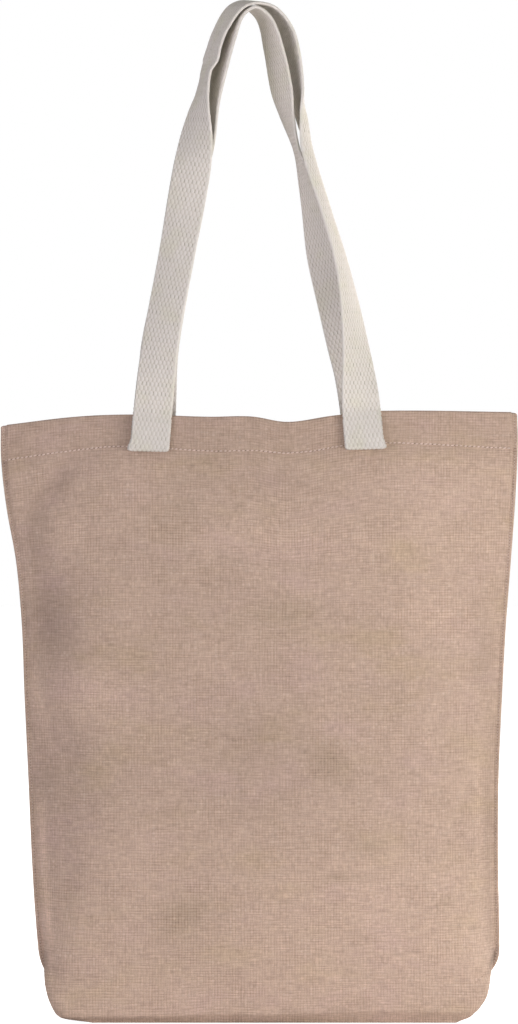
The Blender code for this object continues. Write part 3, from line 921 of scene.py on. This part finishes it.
backPath = [
    (-80.1, 20, 421.4, -90, 0, 0),
    (-78.4, 20, 446, -90, 0, 0),
    (-75.6, 17, 499, -80, 0, 0.5),
    (-61.5, 12, 565, -45, 0, 1),
    (-49.5, 4, 609, -5, 0, 1),
    (-41.8, -2, 640, 19, 0, 0.5),
    (-37.2, -6.5, 676, 23, 0, 0),
    (-31.9, -9, 699, 24, 0, 0),
    (-25.5, -7.5, 722.5, 24, 0, 0),
    (-19.4, -5, 740.3, 23, 2, 0),
    (-9.6, -1, 747.9, 23, 5, 0),
    (1.8, 3, 739.6, 24, 3, 0),
    (8.8, 5.5, 717, 29, 0, 0),
    (14.6, 7, 687.5, 32, 0, 0),
    (18.7, 8, 668.5, 19, 0, 0),
    (26.2, 9.5, 643, 6, 0, 0.5),
    (33.6, 10.8, 619, 22, 0, 1),
    (38.4, 12, 598, 33, 0, 1),
    (44.6, 13.5, 565, 48, 0, 1),
    (53.6, 15, 532, 62, 0, 1),
    (62.2, 17, 499, 76, 0, 0.5),
    (68.2, 19, 476, 84, 0, 0),
    (72.8, 20, 446, 90, 0, 0),
    (74.5, 20, 422, 90, 0, 0),
]


def hemFace(side, x, z):
    # how far out the body's outer face lies at x and z, near the hem
    height = np.minimum(z - riseOf(side, x, np.full(x.shape, body["rim"])), body["rim"])
    depth = np.empty(x.shape)
    for k in range(len(x)):
        points = halfSection(height[k], -1 if x[k] < 0 else 1)
        depth[k] = np.interp(abs(x[k]), points[:-1, 0], points[:-1, 1])
    return depth - softFolds(side, x, height)


def sections(path, side):
    # centres, across directions and cup along a handle's hanging stretch
    table = np.array(path, float)
    lengths = lengthsAlong(table[:, :3])
    table = np.column_stack((lengths, table))
    places = np.linspace(0, lengths[-1], round(lengths[-1] / handle["alongStep"]) + 1)
    rows = readTable(table, places)
    centres, cup = rows[:, 1:4], rows[:, 6]
    turn, roll = np.radians(rows[:, 4]), np.radians(rows[:, 5])[:, None]
    along = unitVectors(np.gradient(centres, axis=0))
    across = np.stack((np.sin(turn), -np.cos(turn), np.zeros(len(turn))), axis=1)
    across = unitVectors(across - along * np.sum(across * along, axis=1)[:, None])
    outward = np.cross(across, along)
    return centres, across * np.cos(roll) - outward * np.sin(roll), cup


def turnedUnder(centres, across, side, end):
    # the end's fold: round under the webbing's lower edge and up between it and the hem
    radius, length = handle["foldRadius"], handle["foldedLength"]
    beyond = end + 2 if end == 0 else end - 2
    foot, up = centres[end], unitVectors(centres[beyond] - centres[end])
    inward = np.array((0.0, -side, 0.0))
    points = []
    for angle in turnAngles:
        under = inward * radius * (1 - math.cos(angle))
        points.append(foot + under - up * radius * math.sin(angle))
    for rise in np.arange(0, length, handle["alongStep"]):
        points.append(foot + inward * radius * 2 + up * rise)
    points = np.array(points)
    return points, np.repeat(across[end][None], len(points), axis=0), (foot, up)


def webbingSkin(places, centres, across, outward, cup, half, scallop):
    # rings round the webbing: its relief is a brick lattice of raised ovals
    width = webbing["width"]
    step = handle["acrossStep"]
    face = np.arange(step, width - step / 2, step)
    inset, share = webbing["edgeInset"], webbing["edgeShare"]
    edge = [(width - inset, share), (width, 0.0), (width - inset, -share)]
    ring = [(u, 1.0) for u in face] + edge + [(u, -1.0) for u in face[::-1]] \
        + [(width - u, share) for u, share in edge[::-1]]
    rings = []
    for u, share in ring:
        wave = np.cos(2 * math.pi * u / webbing["column"]) \
            * np.cos(math.pi * places / webbing["row"])
        free = float(smoothStep(min(u, width - u) / webbing["edgeFlat"]))
        lift = share * (half + webbing["relief"] * wave * free * (abs(share) == 1.0))
        place = u / width - 0.5
        bulge = cup * (1 / 3 - 4 * place**2)
        side = place * width + scallop * np.sign(place) * (1 - free)
        rings.append(centres + across * side[:, None] + outward * (bulge + lift)[:, None])
    return np.stack(rings, axis=1), ring


def shapeEnd(rings, centres, across, foot, up, reach):
    # a sewn end's corners are rounded, and its outer one spreads
    width = webbing["width"] / 2
    radius, inner = handle["cornerRadius"], width - handle["cornerWidth"]
    outerSide = np.sign(foot[0]) * np.sign(across[:, 0])[:, None]
    rise = np.maximum((rings - foot) @ up + reach, 0.0)
    beside = np.sum((rings - centres[:, None]) * across[:, None], axis=2)
    cut = radius - np.sqrt(radius**2 - (radius - np.minimum(rise, radius)) ** 2)
    outerPart = np.maximum(np.abs(beside) - inner, 0.0)
    moved = np.sign(beside) * (np.minimum(np.abs(beside), inner)
                               + outerPart * (width - cut - inner) / (width - inner))
    low = 1 - smoothStep(rise / handle["spreadHeight"])
    spread = handle["spread"][int(np.sign(foot[0]))] * low
    share = np.clip(moved * outerSide / width, 0, 1)
    moved = moved + outerSide * spread * share**3
    shift = across[:, None] * (moved - beside)[..., None] * (low > 0)[..., None]
    return rings + shift - up * (handle["skew"] * low * moved * outerSide)[..., None]


def makeHandle(name, node, path, side):
    centres, across, cup = sections(path, side)
    # where it is sewn it lies on the hem, its outer layer one turn of webbing out
    free = smoothStep((centres[:, 2] - body["rim"]) / handle["liftOff"])
    parting = centres[:, 2] - body["rim"] - handle["settleStart"]
    stacked = 1 - smoothStep(parting / handle["settle"])
    half = (webbing["thickness"] + (webbing["sewnThickness"] - webbing["thickness"]) * stacked) / 2
    sewn = np.where(free < 1)[0]
    offset = hemFace(side, centres[sewn, 0], centres[sewn, 2])
    lie = offset + handle["sewnGap"] + half[sewn] + webbing["relief"] \
        + stacked[sewn] * 2 * handle["foldRadius"]
    centres[sewn, 1] = side * lie * (1 - free[sewn]) + centres[sewn, 1] * free[sewn]
    firstFold, firstAcross, firstEnd = turnedUnder(centres, across, side, 0)
    lastFold, lastAcross, lastEnd = turnedUnder(centres, across, side, len(centres) - 1)
    centres = np.concatenate((firstFold[::-1], centres, lastFold))
    across = np.concatenate((firstAcross, across, lastAcross))
    before, after = len(firstFold), len(lastFold)
    cup = np.pad(cup, (before, after))
    stacked = np.pad(stacked, (before, after), constant_values=1)
    half = np.pad(half, (before, after), "edge")
    places = lengthsAlong(centres)
    along = unitVectors(np.gradient(centres, axis=0))
    outward = unitVectors(np.cross(across, along))
    hanging, held = handle["scallop"]
    scallop = hanging + (held - hanging) * stacked
    scallop = scallop * np.sin(places * 2 * math.pi / webbing["row"])
    rings, ring = webbingSkin(places, centres, across, outward, cup, half, scallop)
    for foot, up in (firstEnd, lastEnd):
        reach = handle["foldRadius"] + webbing["sewnThickness"] / 2
        rings = shapeEnd(rings, centres, across, foot, up, reach)
    uAcross = [u if share >= 0 else 2 * webbing["width"] - u for u, share in ring]
    uAcross = np.array(uAcross + [uAcross[0] + 2 * webbing["width"]])
    uAcross = [np.tile(edge, (len(rings), 1)) for edge in (uAcross[:-1], uAcross[1:])]
    capUv = np.array([(u, share) for u, share in ring])
    piece = loftRings(name, rings, uAcross, places, (capUv, capUv), cottonMaterial)
    addShade(piece, "sewn", np.repeat(stacked, len(ring)))
    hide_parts(node)
    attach(piece, "root")
    return piece


frontHandle = makeHandle("webbing_front", "handle_front", frontPath, -1)
backHandle = makeHandle("webbing_back", "handle_back", backPath, 1)
print("handles made:", len(frontHandle.data.polygons), "faces each")


def takeShape(piece):
    # a primitive's points and faces; the primitive itself goes
    points = np.array([vertex.co[:] for vertex in piece.data.vertices])
    faces = [list(face.vertices) for face in piece.data.polygons]
    bpy.data.objects.remove(piece, do_unlink=True)
    return points, faces


def modelStitch(length, radius):
    # one short, slightly arched stitch, lying along X
    bpy.ops.object.select_all(action="DESELECT")
    bpy.ops.mesh.primitive_cylinder_add(vertices=thread["facets"], radius=radius, depth=length,
                                        rotation=(0, math.radians(90), 0))
    stitch = bpy.context.object
    bpy.ops.object.transform_apply(location=False, rotation=True, scale=False)
    bpy.ops.object.mode_set(mode="EDIT")
    bpy.ops.mesh.select_all(action="SELECT")
    bpy.ops.mesh.bisect(plane_co=(0, 0, 0), plane_no=(1, 0, 0))
    bpy.ops.mesh.select_all(action="DESELECT")
    bpy.ops.object.mode_set(mode="OBJECT")
    for vertex in stitch.data.vertices:  # its ends dive into the cloth
        end = abs(vertex.co.x) / (length / 2)
        vertex.co.z -= radius * thread["dive"] * end**2
        vertex.co.y *= 1 - thread["taper"] * end
    return takeShape(stitch)


def modelHole(radius):
    # a short dark plug, sunk into the cloth where the needle went in; it is painted shade for the
    # hole
    bpy.ops.object.select_all(action="DESELECT")
    bpy.ops.mesh.primitive_cylinder_add(vertices=thread["facets"], radius=radius,
                                        depth=thread["holeDepth"])
    return takeShape(bpy.context.object)


def sewStitches(name, runs, side):
    # a joined mesh of stitches; each run has its points, its outward normals, length and slant
    vertices, faces, holes = [], [], []
    randomly = random.Random(thread["seed"])
    holeShade, holeFaces = modelHole(thread["holeRadius"])
    count = 0

    def place(shape, shapeFaces, at, ahead, beside, normal, dark):
        nonlocal count
        faces.extend([count + corner for corner in face] for face in shapeFaces)
        vertices.append(at + shape[:, :1] * ahead + shape[:, 1:2] * beside + shape[:, 2:] * normal)
        holes.extend([dark] * len(shape))
        count += len(shape)

    for points, normals, length, slant in runs:
        shape, shapeFaces = modelStitch(length, thread["radius"])
        for k in range(len(points) - 1):
            lie = points[k + 1] - points[k]
            along = lie / np.linalg.norm(lie)
            normal = normals[k] - along * np.dot(normals[k], along)
            normal = normal / np.linalg.norm(normal)
            across = np.cross(normal, along)
            angle = math.radians(slant + randomly.uniform(-thread["turn"], thread["turn"]))
            ahead = along * math.cos(angle) + across * math.sin(angle)
            beside = np.cross(normal, ahead)
            at = points[k] + normal * (thread["radius"] * randomly.uniform(*thread["rise"])) \
                + across * randomly.uniform(-thread["drift"], thread["drift"])
            stretch = randomly.uniform(*thread["stretch"])
            place(shape * (stretch, 1, 1), shapeFaces, at, ahead, beside, normal, 0.0)
            # a dark plug of painted shade in the needle hole between two stitches
            between = (points[k] + points[k + 1]) / 2 \
                - normal * thread["holeRadius"] * thread["holeSink"]
            size = randomly.uniform(*thread["sideHoleSize" if side else "holeSize"])
            place(holeShade * (size, size, 1), holeFaces, between, along, across, normal, 1.0)
    vertices = np.concatenate(vertices)
    corners = sum(len(face) for face in faces)
    piece = addMesh(name, toWorld(vertices), faces, np.zeros((corners, 2)), threadMaterial)
    addShade(piece, "holeShade", holes)
    addShade(piece, "side", np.full(len(holes), float(side)))
    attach(piece, "root")
    return piece


def skinNormals(skin):
    # outward at each point of an outer skin
    down = np.gradient(skin, axis=0)
    across = np.gradient(skin, axis=1)
    return unitVectors(np.cross(across, down))


def resample(points, normals, pitch):
    # points every pitch along a line, with the normals there
    lengths = lengthsAlong(points)
    places = np.arange(pitch / 2, lengths[-1] - pitch / 2, pitch)
    spaced, facing = (np.stack([np.interp(places, lengths, run) for run in values.T], axis=1)
                      for values in (points, normals))
    return spaced, unitVectors(facing)


def hemRun(skin, heights, columns, facing):
    # the hem's stitches over a run of a skin's columns; facing is -1 for the inner skin
    normals = skinNormals(skin) * facing
    points, directions = [], []
    for column in columns:
        line = body["rim"] - float(readTable(hemLine, skin[-1, column, 0])[0, 1])
        row = np.interp(line, heights, np.arange(len(heights)))
        low, share = int(row), row - int(row)
        high = min(low + 1, len(heights) - 1)
        points.append(skin[low, column] * (1 - share) + skin[high, column] * share)
        directions.append(normals[low, column] * (1 - share) + normals[high, column] * share)
    return resample(np.array(points), np.array(directions), thread["pitch"])


def seamRun(skin, heights, column):
    # the topstitching along one face of a side seam's fin
    high = heights > thread["sideStart"]
    normals = skinNormals(skin)[high, column]
    return resample(skin[high, column], normals, thread["sidePitch"])


def makeThreads():
    heights = stepped(outerStretches)
    panel = 2 * body["halfColumns"] + 1
    finCount = 2 * len(finOutline)
    over, short = thread["overlap"], thread["shortfall"]
    front = range(-over, panel + over)
    back = range(panel + finCount - over, 2 * panel + finCount + over)
    outerRuns = [hemRun(outerSkin, heights, columns, 1) for columns in (front, back)]
    front = range(short, panel - short)
    back = range(panel + finCount + short, 2 * panel + finCount - short)
    insideHeights = np.concatenate((stepped(innerStretches), [row[0] for row in innerFoot]))
    flipped = innerSkin[::-1]
    innerRuns = [hemRun(flipped, insideHeights[::-1], columns, -1) for columns in (front, back)]
    hem = sewStitches("thread_hem", [(points, normals, thread["length"], thread["slant"])
                                     for points, normals in outerRuns + innerRuns], False)
    groove = [reach for reach, _ in finOutline].index(fin["groove"])
    rightFin, leftFin = panel, 2 * panel + finCount
    sides = []
    for name, start in (("thread_side_right", rightFin), ("thread_side_left", leftFin)):
        runs = [seamRun(outerSkin, heights, start + column)
                for column in (groove, finCount - 1 - groove)]
        sides.append(sewStitches(name, [(points, normals, thread["sideLength"], 0.0)
                                        for points, normals in runs], True))
    return [hem] + sides


threads = makeThreads()
print("stitches sewn:", sum(len(piece.data.polygons) for piece in threads), "faces")


studio = {
    "floorSide": 30.0,
    "floorColour": (0.9, 0.9, 0.9, 1),
    "floorGlow": 1.0,
    "skyColour": (0.97, 1.0, 0.93, 1),
    "skyFront": 0.33,  # how strongly the surroundings light the bag
    "skyBehind": 0.0,
    "skyTurn": 0.7,  # how gradually the one passes into the other
}

# name, place and aim in metres, side of the square, watts, colour
lamps = [
    ("key", (1.5, -0.8, 0.35), (0, 0, 0.34), 0.5, 12.6, (1.0, 0.955, 0.935)),
    ("low", (0.75, -0.8, 0.08), (0, 0, 0.25), 0.7, 4.8, (1.0, 0.955, 0.935)),
    ("left", (-1.5, -1.3, 0.3), (0, 0, 0.34), 1.0, 14.5, (0.97, 0.90, 1.0)),
    ("upper", (-0.9, -1.0, 1.0), (0, 0, 0.62), 0.8, 2.0, (0.97, 0.92, 1.0)),
    ("top", (-0.3, -0.9, 2.6), (0, 0, 0.34), 1.6, 8.0, (1.0, 0.96, 0.98)),
    ("rear", (2.2, 2.4, 1.4), (0, 0, 0.34), 1.8, 95, (1.0, 0.95, 0.92)),
]


def makeFloor():
    # it glows white to the eye alone, so that it lights nothing
    bpy.ops.object.select_all(action="DESELECT")
    bpy.ops.mesh.primitive_plane_add(size=studio["floorSide"], location=(0, 0, cadLow.z))
    floor = bpy.context.object
    floor.name = "floor"
    material = bpy.data.materials.new("floor")
    material.use_nodes = True
    shader = material.node_tree.nodes["Principled BSDF"]
    shader.inputs["Base Color"].default_value = studio["floorColour"]
    shader.inputs["Roughness"].default_value = 1.0
    shader.inputs["Specular IOR Level"].default_value = 0.0
    shader.inputs["Emission Color"].default_value = (1, 1, 1, 1)
    seen = Wire(material.node_tree.nodes.new("ShaderNodeLightPath").outputs["Is Camera Ray"])
    glow = seen * studio["floorGlow"]
    material.node_tree.links.new(glow.socket, shader.inputs["Emission Strength"])
    floor.data.materials.append(material)


def makeWorld():
    # white to the eye, but a soft light that is weaker from behind
    world = bpy.data.worlds.new("studio")
    bpy.context.scene.world = world
    world.use_nodes = True
    tree = world.node_tree
    background = tree.nodes["Background"]
    seen = Wire(tree.nodes.new("ShaderNodeLightPath").outputs["Is Camera Ray"])
    towards = seen.node("ShaderNodeTexCoord", output=0)
    depth = seen.node("ShaderNodeSeparateXYZ", None, {0: towards}, 1)
    turn = studio["skyTurn"]
    light = depth.band(-turn, turn, studio["skyFront"], studio["skyBehind"])
    colour = seen.mix(studio["skyColour"], (1, 1, 1, 1))
    strength = seen + (1 - seen) * light
    tree.links.new(colour.socket, background.inputs["Color"])
    tree.links.new(strength.socket, background.inputs["Strength"])


def makeLamps():
    for name, place, aim, side, watts, colour in lamps:
        data = bpy.data.lights.new(name, "AREA")
        data.shape = "SQUARE"
        data.size, data.energy, data.color = side, watts, colour
        lamp = bpy.data.objects.new(name, data)
        lamp.location = place
        lamp.visible_camera = False
        lamp.rotation_euler = (Vector(aim) - Vector(place)).to_track_quat("-Z", "Y").to_euler()
        bpy.context.scene.collection.objects.link(lamp)


makeFloor()
makeWorld()
makeLamps()
bpy.context.scene.view_settings.view_transform = "Standard"
print("studio lit")
